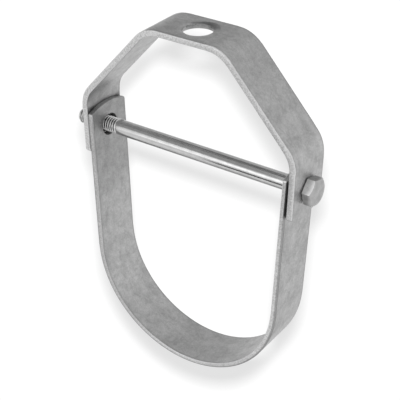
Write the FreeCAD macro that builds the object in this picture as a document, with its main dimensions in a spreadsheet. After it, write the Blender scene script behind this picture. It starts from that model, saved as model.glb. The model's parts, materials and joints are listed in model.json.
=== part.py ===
import FreeCAD, Part
from enum import IntEnum
import math
import os

import Sketcher

# Adjustable clevis hanger for one pipe.
# A flat bar bent into a yoke hangs from a threaded rod, and a second flat bar
# bent into a U hangs inside the yoke's two ears on a long hexagon bolt.
# Millimetres, +Z up. The origin is the middle of the rod hole, level with the
# underside of the yoke's flat top. X runs along the bolt, with its head at +X
# and its nut at -X. Y runs across the bars, which is along the pipe.

# Driving sizes: alias, value, what it is
SIZES = [
    ("pipe_outside", 114.3, "outside diameter of the pipe that the U carries"),
    ("pipe_clearance", 3.5, "how much wider the U's round bottom is than the pipe"),
    ("pipe_headroom", 13.9, "top of the U's round seat up to the bolt's axis"),
    ("strap_width", 30.0, "width of both bars, along the pipe"),
    ("end_radius", 38.0, "radius of the arc that every bar end is sheared to"),
    ("corner_radius", 1.6, "radius where a bar end meets the bar's long edge"),
    ("edge_break", 0.5, "how far the bars' outline is broken on both broad faces"),
    ("strap_thickness", 3.2, "thickness of the lower bar"),
    ("leg_splay", 2.3, "degrees that each leg of the U opens upwards"),
    ("leg_rise", 13.7, "bolt's axis up to the highest point of each leg"),
    ("leg_hole_room", 2.9, "how much wider the legs' holes are than the bolt"),
    ("leg_hole_drop", 0.8, "how far the middles of the legs' holes hang below the bolt's axis"),
    ("leg_gap", 0.12, "gap between the nut side's leg and its ear, which nearly touch"),
    ("hang_lean", 0.5, "degrees that the U hangs out of upright, towards the nut"),
    ("yoke_thickness", 3.6, "thickness of the upper bar"),
    ("ear_play", 0.36, "how much wider the ears stand inside than the legs' tops"),
    ("ear_lean", 1.7, "degrees that each ear leans inwards, down to its tip"),
    ("ear_reach", 15.6, "bolt's axis down to the lowest point of each ear"),
    ("ear_hole_room", 1.0, "how much wider the ears' holes are than the bolt"),
    ("bolt_drop", 69.4, "underside of the flat top down to the bolt's axis"),
    ("shoulder_rise", 22.0, "bolt's axis up to the sharp corner above each ear"),
    ("shoulder_bend", 15.0, "inside radius of the bend above each ear"),
    ("crown_width", 47.2, "flat top between the sharp corners of the bar's middle line"),
    ("crown_bend", 15.8, "inside radius of the two bends beside the flat top"),
    ("rod_diameter", 15.9, "threaded rod that the hanger hangs from"),
    ("rod_clearance", 0.6, "how much wider the rod hole is than the rod"),
    ("bolt_diameter", 9.1, "bolt's shank, and its thread over the crests"),
    ("tip_length", 7.6, "bolt's tip past the nut"),
    ("thread_pitch", 1.5875, "pitch of the bolt's thread, which sets its tip chamfer"),
    ("thread_clearance", 0.05, "gap all round between the thread and the nut's bore"),
    ("seat_gap", 0.05, "least gap under the head and under the nut"),
    ("head_flats", 14.3, "bolt's head across its flats"),
    ("head_height", 5.8, "height of the bolt's head, with its washer face"),
    ("washer_face", 0.5, "height of the round washer face under the head"),
    ("washer_face_diameter", 13.3, "diameter of that washer face"),
    ("head_turn", -12.0, "degrees that the head is turned from one flat up"),
    ("nut_flats", 14.3, "nut across its flats"),
    ("nut_height", 5.6, "height of the thin nut"),
    ("nut_turn", 17.0, "degrees that the nut is turned from one flat up"),
    ("hexagon_chamfer", 30.0, "degrees that the hexagons' corners are turned off at"),
]

# Sizes that follow from the driving ones
SEAT_RADIUS = "((Sizes.pipe_outside + Sizes.pipe_clearance) / 2)"
SEAT_DROP = f"({SEAT_RADIUS} + Sizes.pipe_headroom)"
LEG_HALF_SPAN = (f"(({SEAT_RADIUS} + Sizes.strap_thickness) / cos(Sizes.leg_splay)"
                 f" + ({SEAT_DROP} + Sizes.leg_rise) * tan(Sizes.leg_splay))")
# Half of the ear's thickness, measured level
EAR_HALF = "(Sizes.yoke_thickness / 2 / cos(Sizes.ear_lean))"
# Inside of the ear level with the legs' tops, and its middle and outside level with the bolt
EAR_INSIDE = f"({LEG_HALF_SPAN} + Sizes.ear_play / 2)"
EAR_MIDDLE = f"({EAR_INSIDE} + {EAR_HALF} - Sizes.leg_rise * tan(Sizes.ear_lean))"
EAR_OUTSIDE = f"({EAR_MIDDLE} + {EAR_HALF})"
EAR_TIP = "(-Sizes.bolt_drop - Sizes.ear_reach)"
# Head and nut come nearest to the leaning ears at their highest points
HEAD_SEAT = f"({EAR_OUTSIDE} + Sizes.washer_face_diameter / 2 * tan(Sizes.ear_lean) + Sizes.seat_gap)"
NUT_SEAT = f"({EAR_OUTSIDE} + Sizes.nut_flats / sqrt(3) * tan(Sizes.ear_lean) + Sizes.seat_gap)"
# The leaning U goes towards the nut until its leg's top is one leg gap from the ear
HANG_SHIFT = (f"({EAR_INSIDE} - Sizes.leg_gap - {LEG_HALF_SPAN} * cos(Sizes.hang_lean)"
              f" + Sizes.leg_rise * sin(Sizes.hang_lean))")
BOLT_LENGTH = f"({HEAD_SEAT} + {NUT_SEAT} + Sizes.nut_height + Sizes.tip_length)"
TIP_CHAMFER = "(0.75 * Sizes.thread_pitch)"

# How far a bar is left long before its ends are sheared, and how far the shear runs past it
SHEAR_ALLOWANCE = 2.0
CUT_MARGIN = 5.0


class Place(IntEnum):
    """Sketcher's numbers for the places on a curve."""

    START = 1
    END = 2
    CENTRE = 3


class Axis(IntEnum):
    """Sketcher's numbers for a sketch's own axes."""

    ACROSS = -1
    UP = -2


START, END, CENTRE = Place
ORIGIN = (Axis.ACROSS, START)

doc = FreeCAD.newDocument("clevis_hanger")


# Sheet of driving sizes, and small helpers

def fill_sheet():
    """One row for each driving size: its words, its number and its alias."""
    sizes = doc.addObject("Spreadsheet::Sheet", "Sizes")
    for row, (alias, number, words) in enumerate(SIZES, start=1):
        sizes.set(f"A{row}", words)
        sizes.set(f"B{row}", str(number))
        sizes.setAlias(f"B{row}", alias)
    doc.recompute()
    return sizes


sheet = fill_sheet()


def value(formula):
    """What a formula on the sheet comes to, for drawing a sketch near its final shape."""
    result = sheet.evalExpression(formula)
    return float(getattr(result, "Value", result))


def point(x, y):
    return FreeCAD.Vector(x, y, 0)


def circle_at(centre, radius):
    return Part.Circle(centre, FreeCAD.Vector(0, 0, 1), radius)


def origin_plane(body, role):
    return next(item for item in body.Origin.OriginFeatures if item.Role == role)


def new_body(label):
    body = doc.addObject("PartDesign::Body", label)
    body.Label = label
    return body


def new_sketch(body, role, name):
    sketch = body.newObject("Sketcher::SketchObject", name)
    sketch.AttachmentSupport = (origin_plane(body, role), "")
    sketch.MapMode = "FlatFace"
    return sketch


def relate(sketch, kind, *where):
    sketch.addConstraint(Sketcher.Constraint(kind, *where))


def drive(sketch, formula, kind, *where):
    """Adds a dimension and binds it to its formula."""
    number = value(formula)
    if kind == "Angle":
        number = math.radians(number)
    index = sketch.addConstraint(Sketcher.Constraint(kind, *where, number))
    sketch.setExpression(f"Constraints[{index}]", formula)


def place_point(sketch, curve, place, across, up):
    """Dimensions a point on a curve from the sketch's origin."""
    drive(sketch, across, "DistanceX", *ORIGIN, curve, place)
    drive(sketch, up, "DistanceY", *ORIGIN, curve, place)


def draw_polygon(sketch, corners):
    """A closed outline of straight lines through the corners, in their order."""
    count = len(corners)
    for index in range(count):
        sketch.addGeometry(Part.LineSegment(corners[index], corners[(index + 1) % count]), False)
    for index in range(count):
        relate(sketch, "Coincident", index, END, (index + 1) % count, START)


def cut_through(body, name, sketch):
    """Cuts a sketch's outline out of the body, all the way through both sides."""
    cut = body.newObject("PartDesign::Pocket", name)
    cut.Profile = sketch
    cut.Type = "ThroughAll"
    cut.SideType = "Symmetric"
    doc.recompute()
    return cut


def punch(body, role, name, diameter, height):
    """A round hole through the bar, at a height on the sketch plane's upright axis."""
    sketch = new_sketch(body, role, name + "_circle")
    sketch.addGeometry(circle_at(point(0, value(height)), value(diameter) / 2), False)
    relate(sketch, "PointOnObject", 0, CENTRE, Axis.UP)
    drive(sketch, height, "DistanceY", *ORIGIN, 0, CENTRE)
    drive(sketch, diameter, "Diameter", 0)
    return cut_through(body, name, sketch)


def edges_where(feature, test):
    """Names of the edges of a feature's shape that pass a test."""
    return [f"Edge{index}" for index, edge in enumerate(feature.Shape.Edges, start=1) if test(edge)]


def is_straight(edge):
    return isinstance(edge.Curve, (Part.Line, Part.LineSegment))


# Bars: the forms that the yoke and the strap share

def draw_bar_section(sketch, thickness, bottom):
    """The bar's rectangular section, with its lower face at the height called bottom."""
    half = value("Sizes.strap_width") / 2
    low = value(bottom)
    high = low + value(thickness)
    draw_polygon(sketch, [point(-half, low), point(half, low), point(half, high), point(-half, high)])
    for index in (0, 2):
        relate(sketch, "Horizontal", index)
    for index in (1, 3):
        relate(sketch, "Vertical", index)
    place_point(sketch, 1, START, "Sizes.strap_width / 2", bottom)
    drive(sketch, "Sizes.strap_width", "DistanceX", 0, START, 0, END)
    drive(sketch, thickness, "DistanceY", 1, START, 1, END)


def sweep_both_sides(body, section, path):
    """Carries the section along half of the bar, and mirrors it to the other side."""
    half = body.newObject("PartDesign::AdditivePipe", "half_bar")
    half.Profile = section
    half.Spine = path
    doc.recompute()
    mirror = body.newObject("PartDesign::Mirrored", "whole_bar")
    mirror.Originals = [half]
    mirror.MirrorPlane = (origin_plane(body, "YZ_Plane"), "")
    body.Tip = mirror
    doc.recompute()


def shear_ends(body, name, tip, upwards):
    """Cuts both bar ends to a shallow arc, whose outermost point is at the height called tip."""
    sketch = new_sketch(body, "YZ_Plane", name + "_arc")
    way = 1 if upwards else -1
    reach = f"(Sizes.strap_width / 2 + {CUT_MARGIN})"
    radius = value("Sizes.end_radius")
    centre = point(0, value(tip) - way * radius)
    half_angle = math.asin(value(reach) / radius)
    middle = way * math.pi / 2
    arc = Part.ArcOfCircle(circle_at(centre, radius), middle - half_angle, middle + half_angle)
    outside = value(tip) + way * CUT_MARGIN
    first = point(arc.EndPoint.x, outside)
    second = point(arc.StartPoint.x, outside)
    sketch.addGeometry(arc, False)
    sketch.addGeometry(Part.LineSegment(arc.EndPoint, first), False)
    sketch.addGeometry(Part.LineSegment(first, second), False)
    sketch.addGeometry(Part.LineSegment(second, arc.StartPoint), False)
    for index in range(4):
        relate(sketch, "Coincident", index, END, (index + 1) % 4, START)
    relate(sketch, "Vertical", 1)
    relate(sketch, "Horizontal", 2)
    relate(sketch, "Vertical", 3)
    relate(sketch, "PointOnObject", 0, CENTRE, Axis.UP)
    drive(sketch, "Sizes.end_radius", "Radius", 0)
    back, beyond = ("-", "+") if upwards else ("+", "-")
    drive(sketch, f"{tip} {back} Sizes.end_radius", "DistanceY", *ORIGIN, 0, CENTRE)
    right, left = (START, END) if upwards else (END, START)
    drive(sketch, reach, "DistanceX", *ORIGIN, 0, right)
    drive(sketch, f"2 * {reach}", "DistanceX", 0, left, 0, right)
    drive(sketch, f"{tip} {beyond} {CUT_MARGIN}", "DistanceY", *ORIGIN, 2, START)
    return cut_through(body, name, sketch)


def round_end_corners(body, ends, thickness):
    """Rounds the corners of the bar's ends, where each meets the bar's long edges."""
    def is_corner(edge):
        if not is_straight(edge) or edge.Length > 2 * value(thickness):
            return False
        along_bolt = abs(edge.tangentAt(edge.FirstParameter).x) > 0.99
        outermost = abs(abs(edge.CenterOfMass.y) - value("Sizes.strap_width") / 2) < 0.01
        return along_bolt and outermost

    fillet = body.newObject("PartDesign::Fillet", "end_corners")
    fillet.Base = (ends, edges_where(ends, is_corner))
    fillet.setExpression("Radius", "Sizes.corner_radius")
    doc.recompute()
    return fillet


def break_outline(body, corners, thickness):
    """Breaks the bar's outline on both broad faces, where rolling and shearing leave it blunt.

    Left alone are the lines across the bar where a bend begins, and the short
    lines through its thickness.
    """
    def is_outline(edge):
        if not is_straight(edge):
            return True
        across_bar = abs(edge.tangentAt(edge.FirstParameter).y) > 0.99
        return edge.Length > 2 * value(thickness) and not across_bar

    chamfer = body.newObject("PartDesign::Chamfer", "blunt_outline")
    chamfer.Base = (corners, edges_where(corners, is_outline))
    chamfer.setExpression("Size", "Sizes.edge_break")
    doc.recompute()


# Upper yoke

def draw_yoke_path(sketch):
    """Half of the yoke's middle line: flat top, crown bend, slope, shoulder bend, ear.

    The two sharp corners are points of their own, where the straight runs
    would meet, and they carry the dimensions as on a bending drawing.
    """
    shoulder_out = f"{EAR_MIDDLE} + Sizes.shoulder_rise * tan(Sizes.ear_lean)"
    shoulder_up = "Sizes.shoulder_rise - Sizes.bolt_drop"
    ear_end_out = f"{EAR_MIDDLE} - (Sizes.ear_reach + {SHEAR_ALLOWANCE}) * tan(Sizes.ear_lean)"
    ear_end_up = f"{EAR_TIP} - {SHEAR_ALLOWANCE}"
    half_thickness = value("Sizes.yoke_thickness") / 2
    crown = point(value("Sizes.crown_width") / 2, half_thickness)
    shoulder = point(value(shoulder_out), value(shoulder_up))
    ear_end = point(value(ear_end_out), value(ear_end_up))
    crown_radius = value("Sizes.crown_bend") + half_thickness
    shoulder_radius = value("Sizes.shoulder_bend") + half_thickness
    lean = math.radians(value("Sizes.ear_lean"))
    slope = (shoulder - crown).normalize()
    down = (ear_end - shoulder).normalize()
    turn = math.atan2(-slope.y, slope.x)
    crown_trim = crown_radius * math.tan(turn / 2)
    shoulder_trim = shoulder_radius * math.tan((math.pi / 2 + lean - turn) / 2)
    top_end = crown - point(crown_trim, 0)
    ear_start = shoulder + down * shoulder_trim
    crown_circle = circle_at(top_end - point(0, crown_radius), crown_radius)
    shoulder_circle = circle_at(ear_start + point(down.y, -down.x) * shoulder_radius, shoulder_radius)
    sketch.addGeometry([
        Part.LineSegment(point(0, half_thickness), top_end),
        Part.ArcOfCircle(crown_circle, math.pi / 2 - turn, math.pi / 2),
        Part.LineSegment(crown + slope * crown_trim, shoulder - slope * shoulder_trim),
        Part.ArcOfCircle(shoulder_circle, -lean, math.pi / 2 - turn),
        Part.LineSegment(ear_start, ear_end),
    ], False)
    sketch.addGeometry([Part.Point(crown), Part.Point(shoulder)], True)
    top, crown_arc, side, shoulder_arc, ear, crown_point, shoulder_point = range(7)
    # Arcs run anticlockwise, so the bar comes in at an arc's end and leaves at its start
    for before, arc, after in ((top, crown_arc, side), (side, shoulder_arc, ear)):
        relate(sketch, "Tangent", before, END, arc, END)
        relate(sketch, "Tangent", arc, START, after, START)
    relate(sketch, "Horizontal", top)
    relate(sketch, "PointOnObject", top, START, Axis.UP)
    for corner, lines in ((crown_point, (top, side)), (shoulder_point, (side, ear))):
        for line in lines:
            relate(sketch, "PointOnObject", corner, START, line)
    drive(sketch, "Sizes.yoke_thickness / 2", "DistanceY", *ORIGIN, top, START)
    drive(sketch, "Sizes.crown_width / 2", "DistanceX", *ORIGIN, crown_point, START)
    place_point(sketch, shoulder_point, START, shoulder_out, shoulder_up)
    place_point(sketch, ear, END, ear_end_out, ear_end_up)
    drive(sketch, "Sizes.crown_bend + Sizes.yoke_thickness / 2", "Radius", crown_arc)
    drive(sketch, "Sizes.shoulder_bend + Sizes.yoke_thickness / 2", "Radius", shoulder_arc)


def make_yoke():
    """One flat bar, bent four times, with a hole for the rod and one in each ear."""
    body = new_body("upper_yoke")
    section = new_sketch(body, "YZ_Plane", "yoke_section")
    draw_bar_section(section, "Sizes.yoke_thickness", "0")
    path = new_sketch(body, "XZ_Plane", "yoke_path")
    draw_yoke_path(path)
    doc.recompute()
    sweep_both_sides(body, section, path)
    ends = shear_ends(body, "ear_ends", EAR_TIP, upwards=False)
    corners = round_end_corners(body, ends, "Sizes.yoke_thickness")
    break_outline(body, corners, "Sizes.yoke_thickness")
    punch(body, "YZ_Plane", "ear_holes", "Sizes.bolt_diameter + Sizes.ear_hole_room", "-Sizes.bolt_drop")
    punch(body, "XY_Plane", "rod_opening", "Sizes.rod_diameter + Sizes.rod_clearance", "0")
    return body


# Lower strap

def draw_strap_path(sketch):
    """Half of the U's middle line: a quarter round from its lowest point, then a leg."""
    middle_radius = f"({SEAT_RADIUS} + Sizes.strap_thickness / 2)"
    splay = math.radians(value("Sizes.leg_splay"))
    circle = circle_at(point(0, -value(SEAT_DROP)), value(middle_radius))
    arc = Part.ArcOfCircle(circle, -math.pi / 2, -splay)
    foot = arc.EndPoint
    leg_end_up = f"Sizes.leg_rise + {SHEAR_ALLOWANCE}"
    rise = value(leg_end_up) - foot.y
    leg_top = foot + point(rise * math.tan(splay), rise)
    sketch.addGeometry([arc, Part.LineSegment(foot, leg_top)], False)
    round_bottom, leg = range(2)
    relate(sketch, "Tangent", round_bottom, END, leg, START)
    for place in (START, CENTRE):
        relate(sketch, "PointOnObject", round_bottom, place, Axis.UP)
    drive(sketch, middle_radius, "Radius", round_bottom)
    drive(sketch, f"-{SEAT_DROP}", "DistanceY", *ORIGIN, round_bottom, CENTRE)
    drive(sketch, leg_end_up, "DistanceY", *ORIGIN, leg, END)
    drive(sketch, "(90 - Sizes.leg_splay) * 1 deg", "Angle", leg)


def make_strap():
    """The U, drawn upright about the bolt's axis, then hung leaning towards the nut."""
    body = new_body("lower_strap")
    section = new_sketch(body, "YZ_Plane", "strap_section")
    draw_bar_section(section, "Sizes.strap_thickness",
                     f"-{SEAT_DROP} - {SEAT_RADIUS} - Sizes.strap_thickness")
    path = new_sketch(body, "XZ_Plane", "strap_path")
    draw_strap_path(path)
    doc.recompute()
    sweep_both_sides(body, section, path)
    ends = shear_ends(body, "leg_ends", "Sizes.leg_rise", upwards=True)
    corners = round_end_corners(body, ends, "Sizes.strap_thickness")
    break_outline(body, corners, "Sizes.strap_thickness")
    punch(body, "YZ_Plane", "leg_holes", "Sizes.bolt_diameter + Sizes.leg_hole_room",
          "-Sizes.leg_hole_drop")
    place_body(body, f"-{HANG_SHIFT}", FreeCAD.Vector(0, 1, 0), "Sizes.hang_lean")
    return body


def place_body(body, along_bolt, axis, turn):
    """Puts a body's own origin on the bolt's axis, and turns it about an axis."""
    place = FreeCAD.Vector(value(along_bolt), 0, value("-Sizes.bolt_drop"))
    body.Placement = FreeCAD.Placement(place, FreeCAD.Rotation(axis, value(turn)))
    body.setExpression("Placement.Base.x", along_bolt)
    body.setExpression("Placement.Base.z", "-Sizes.bolt_drop")
    body.setExpression("Placement.Rotation.Angle", turn)


# Bolt and nut

def draw_hexagon(sketch, flats):
    """A regular hexagon with one flat up, dimensioned across its flats."""
    radius = f"{flats} / sqrt(3)"
    turns = [math.radians(60 * index) for index in range(6)]
    draw_polygon(sketch, [point(math.cos(turn), math.sin(turn)) * value(radius) for turn in turns])
    ring = sketch.addGeometry(circle_at(point(0, 0), value(radius)), True)
    for index in range(6):
        relate(sketch, "PointOnObject", index, START, ring)
    for index in range(5):
        relate(sketch, "Equal", index, index + 1)
    relate(sketch, "Coincident", ring, CENTRE, *ORIGIN)
    relate(sketch, "Horizontal", 1)
    drive(sketch, radius, "Radius", ring)


def pad(body, name, sketch, length, towards_head):
    feature = body.newObject("PartDesign::Pad", name)
    feature.Profile = sketch
    feature.Reversed = not towards_head
    feature.setExpression("Length", length)
    doc.recompute()
    return feature


def pad_round(body, name, diameter, length, towards_head):
    """A plain cylinder about the bolt's axis, from the body's origin."""
    sketch = new_sketch(body, "YZ_Plane", name + "_circle")
    sketch.addGeometry(circle_at(point(0, 0), value(diameter) / 2), False)
    relate(sketch, "Coincident", 0, CENTRE, *ORIGIN)
    drive(sketch, diameter, "Diameter", 0)
    return pad(body, name, sketch, length, towards_head)


def turn_corners_off(body, name, flats, face, inwards):
    """Turns a hexagon's corners off to a shallow cone, which meets the face inside the flats.

    face is the face's place along the bolt, and inwards, 1 or -1, is the way
    from it into the metal. The profile turned is a wedge: it starts on the face
    at the flats' radius, and widens outwards to twice that radius.
    """
    sketch = new_sketch(body, "XZ_Plane", name + "_profile")
    into, out_of = ("+", "-") if inwards > 0 else ("-", "+")
    flat = f"({flats} / 2)"
    deep = f"{face} {into} {flat} * tan(Sizes.hexagon_chamfer)"
    clear = f"{face} {out_of} {flat}"
    corners = [(face, flat), (deep, flats), (clear, flats), (clear, flat)]
    draw_polygon(sketch, [point(value(along), value(out)) for along, out in corners])
    for index, (along, out) in enumerate(corners):
        place_point(sketch, index, START, along, out)
    groove = body.newObject("PartDesign::Groove", name)
    groove.Profile = sketch
    groove.ReferenceAxis = (sketch, ["H_Axis"])
    groove.Angle = 360
    doc.recompute()


def make_bolt():
    """Hexagon bolt: its own origin is under its washer face, and its shank runs to -X."""
    body = new_body("cross_bolt")
    pad_round(body, "washer_face", "Sizes.washer_face_diameter", "Sizes.washer_face", towards_head=True)
    hexagon = new_sketch(body, "YZ_Plane", "head_hexagon")
    hexagon.setExpression("AttachmentOffset.Base.z", "Sizes.washer_face")
    draw_hexagon(hexagon, "Sizes.head_flats")
    pad(body, "head", hexagon, "Sizes.head_height - Sizes.washer_face", towards_head=True)
    turn_corners_off(body, "head_chamfer", "Sizes.head_flats", "Sizes.head_height", -1)
    shank = pad_round(body, "shank", "Sizes.bolt_diameter", BOLT_LENGTH, towards_head=False)

    def is_tip(edge):
        return edge.isClosed() and edge.CenterOfMass.x < 0.01 - value(BOLT_LENGTH)

    tip = body.newObject("PartDesign::Chamfer", "tip_chamfer")
    tip.Base = (shank, edges_where(shank, is_tip))
    tip.setExpression("Size", TIP_CHAMFER)
    doc.recompute()
    place_body(body, HEAD_SEAT, FreeCAD.Vector(1, 0, 0), "Sizes.head_turn")
    return body


def make_nut():
    """Thin hexagon nut: its own origin is on its bearing face, and its height runs to -X."""
    body = new_body("hex_nut")
    hexagon = new_sketch(body, "YZ_Plane", "nut_hexagon")
    draw_hexagon(hexagon, "Sizes.nut_flats")
    pad(body, "nut_block", hexagon, "Sizes.nut_height", towards_head=False)
    turn_corners_off(body, "outer_chamfer", "Sizes.nut_flats", "-Sizes.nut_height", 1)
    turn_corners_off(body, "inner_chamfer", "Sizes.nut_flats", "0", -1)
    punch(body, "YZ_Plane", "nut_bore", "Sizes.bolt_diameter + 2 * Sizes.thread_clearance", "0")
    place_body(body, f"-{NUT_SEAT}", FreeCAD.Vector(1, 0, 0), "Sizes.nut_turn")
    return body


# Building, checking and writing

def check(bodies):
    for item in doc.Objects:
        if "Invalid" in item.State or "Error" in item.State:
            raise RuntimeError(f"{item.Name} failed: {item.State}")
    for body in bodies:
        if body.Shape.isNull() or not body.Shape.isValid():
            raise RuntimeError(f"{body.Label} has no valid shape")
        if len(body.Shape.Solids) != 1:
            raise RuntimeError(f"{body.Label} is not one solid")


def write(bodies):
    os.makedirs("parts", exist_ok=True)
    for body in bodies:
        body.Shape.exportStep(f"parts/{body.Label}.step")
        print(f"{body.Label}: {body.Shape.Volume / 1000:.2f} cm3, {len(body.Shape.Faces)} faces")


bodies = [make_yoke(), make_strap(), make_bolt(), make_nut()]
doc.recompute()
check(bodies)
write(bodies)
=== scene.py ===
import json
import math

import bmesh
import bpy
import numpy as np
from bpy.props import FloatProperty, FloatVectorProperty, PointerProperty
from bpy.types import Operator, Panel, PropertyGroup
from mathutils import Matrix, Vector


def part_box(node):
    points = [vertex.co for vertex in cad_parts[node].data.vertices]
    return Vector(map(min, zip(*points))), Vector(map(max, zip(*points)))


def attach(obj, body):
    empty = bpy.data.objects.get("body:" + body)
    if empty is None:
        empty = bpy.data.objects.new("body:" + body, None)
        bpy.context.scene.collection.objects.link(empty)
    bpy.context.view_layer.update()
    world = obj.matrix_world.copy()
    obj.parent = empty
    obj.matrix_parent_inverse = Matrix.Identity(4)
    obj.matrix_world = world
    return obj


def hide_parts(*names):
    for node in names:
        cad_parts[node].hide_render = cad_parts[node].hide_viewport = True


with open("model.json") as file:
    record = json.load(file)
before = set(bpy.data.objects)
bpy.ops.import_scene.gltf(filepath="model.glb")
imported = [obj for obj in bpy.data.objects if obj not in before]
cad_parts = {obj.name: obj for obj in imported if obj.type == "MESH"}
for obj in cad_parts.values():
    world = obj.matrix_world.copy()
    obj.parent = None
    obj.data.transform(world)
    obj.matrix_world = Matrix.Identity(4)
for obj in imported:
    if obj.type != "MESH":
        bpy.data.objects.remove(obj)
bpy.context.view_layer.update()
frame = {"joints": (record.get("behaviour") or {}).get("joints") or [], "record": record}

bl_info = {
    "name": "Clevis Pipe Hanger",
    "version": (1, 0, 0),
    "blender": (4, 5, 0),
    "location": "View3D > Sidebar > Hanger",
    "description": "Builds a clevis pipe hanger: bent yoke, U strap, long bolt and nut",
    "category": "Object",
}

MM = 0.001

# Places and sizes that the frame gives, in metres
JOINTS = {joint["name"]: joint for joint in frame["joints"]}
MOUNTS = {mount["name"]: mount for mount in frame["record"]["mounts"]}
YOKE_LOW, YOKE_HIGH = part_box("upper_yoke")
STRAP_LOW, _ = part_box("lower_strap")
BOLT_LOW, BOLT_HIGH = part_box("cross_bolt")
NUT_LOW, NUT_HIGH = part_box("hex_nut")
BOLT_AXIS_Z = JOINTS["strap_swing"]["pos_m"][2]
SEAT_CENTRE = Vector(MOUNTS["pipe_seat"]["pos_m"])
SEAT_RADIUS = MOUNTS["pipe_seat"]["dims"]["r_mm"] * MM
ROD_HOLE_RADIUS = MOUNTS["rod_hole"]["dims"]["r_mm"] * MM
BAR_HALF_WIDTH = YOKE_HIGH.y
YOKE_THICKNESS = YOKE_HIGH.z
STRAP_THICKNESS = SEAT_CENTRE.z - SEAT_RADIUS - STRAP_LOW.z

# Attributes of each bar vertex: its place on the flat blank, along, across and through it,
# its distance in millimetres from the bar's outline or a hole, and its painted shade from 0 to 1
BLANK = "blank"
RIM = "rim"
PAINTED_SHADE = "painted_shade"


# Sizes, finishes and studio, as a user would set them

def length(name, millimetres, description):
    return FloatProperty(name=name, description=description, default=millimetres * MM,
                         min=0.0, subtype="DISTANCE", unit="LENGTH", precision=5)


def angle(name, degrees, description):
    return FloatProperty(name=name, description=description, default=math.radians(degrees),
                         subtype="ANGLE", unit="ROTATION")


def grey(name, level, description):
    return FloatVectorProperty(name=name, description=description, default=(level, level, level),
                               min=0.0, max=1.0, size=3, subtype="COLOR")


def number(name, default, description):
    return FloatProperty(name=name, description=description, default=default, min=0.0)


class HangerSizes(PropertyGroup):
    """Sizes of the four pieces that the frame does not state by itself."""
    crown_width: length("Crown width", 47.2, "Flat top between the sharp corners of the middle line")
    crown_bend: length("Crown bend", 15.8, "Inside radius of the bends beside the flat top")
    shoulder_rise: length("Shoulder rise", 22.0, "Bolt axis up to the sharp corner above each ear")
    shoulder_bend: length("Shoulder bend", 15.0, "Inside radius of the bend above each ear")
    ear_middle: length("Ear middle", 67.1985, "X of the middle of each ear's thickness at the bolt")
    ear_lean: angle("Ear lean", 1.7, "Angle that each ear leans in towards its tip")
    ear_hole: length("Ear hole", 10.1, "Diameter of the hole in each ear")
    leg_splay: angle("Leg splay", 2.3, "Angle that each leg opens upwards")
    leg_rise: length("Leg rise", 13.7, "Bolt axis up to the highest point of each leg")
    leg_hole: length("Leg hole", 12.0, "Diameter of the hole in each leg")
    leg_hole_drop: length("Leg hole drop", 0.8, "Middle of each leg's hole below the bolt axis")
    hang_lean: angle("Hang lean", 0.5, "Angle that the U leans out of upright")
    end_radius: length("End radius", 38.0, "Radius that every bar end is sheared to")
    corner_radius: length("Corner radius", 1.6, "Radius where a bar end meets the long edge")
    edge_radius: length("Edge radius", 0.6, "Rounding of the bars' outline")
    edge_crown: length("Edge crown", 0.1, "How far the rolled edge bulges at its middle")
    bend_swell: length("Bend swell", 0.22, "How far a bend's inside spreads at the long edges")
    waviness: length("Waviness", 0.02, "Height of the shallow waves in the rolled bars")
    hole_roll: length("Hole roll", 0.7, "Depth of the dip where the punch drew the face in")
    hole_dip: number("Hole dip", 0.36, "Width of that dip, as a share of the hole's radius")
    hole_break: number("Hole break", 0.08, "How much wider a hole breaks out, as a share of its radius")
    thread_pitch: length("Thread pitch", 1.5875, "Pitch of the bolt's thread")
    thread_length: length("Thread length", 28.8, "Threaded length from the bolt's tip")
    thread_room: length("Thread room", 0.06, "Gap between the bolt's thread and the nut's")
    bolt_diameter: length("Bolt diameter", 9.1, "Bolt over its thread's crests and its plain shank")
    head_height: length("Head height", 5.8, "Height of the bolt's head with its washer face")
    washer_face: length("Washer face", 0.5, "Height of the round face under the bolt's head")
    washer_width: length("Washer face width", 13.3, "Diameter of the round face under the bolt's head")
    hex_flats: length("Hexagon flats", 14.3, "Head and nut across their flats")
    head_turn: angle("Head turn", -12.0, "Turn of the head's corners about the bolt")
    nut_turn: angle("Nut turn", 17.0, "Turn of the nut's corners about the bolt")


class HangerFinishes(PropertyGroup):
    """Colours of the metals."""
    bar_grey: grey("Bar steel", 0.462, "Rolled bar with a thin dull coating")
    # Also the colour of the painted shade line beside each edge
    bar_dark: grey("Bar smudges", 0.3, "Dull patches and rubbed marks on the bars")
    yoke_edge: grey("Yoke edges", 0.55, "Narrow edges of the yoke")
    strap_edge: grey("Strap edges", 0.56, "Narrow edges of the strap")
    corner: grey("Corners", 0.64, "Rubbed corners of the bars")
    # Painted shade: the bars' crevices, far edges, hole lip and soft patches are darkened towards this
    # grey
    painted_shade: grey("Painted shade", 0.03, "Oil and dust in the crevices")
    zinc: grey("Zinc", 0.62, "Bright plating on bolt and nut")
    zinc_dull: grey("Dull zinc", 0.45, "Duller streaks in the plating")
    head_zinc: grey("Head zinc", 0.44, "Duller plating on the bolt's head and the nut")
    # Painted light and shade: the head's flat facing the left leg lighter, the top flat darker
    lit_flat: grey("Left flat", 0.76, "Plating on the head's flat that faces the left leg")
    shaded_flat: grey("Top flat", 0.34, "Plating on the head's flat that faces up")


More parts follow.
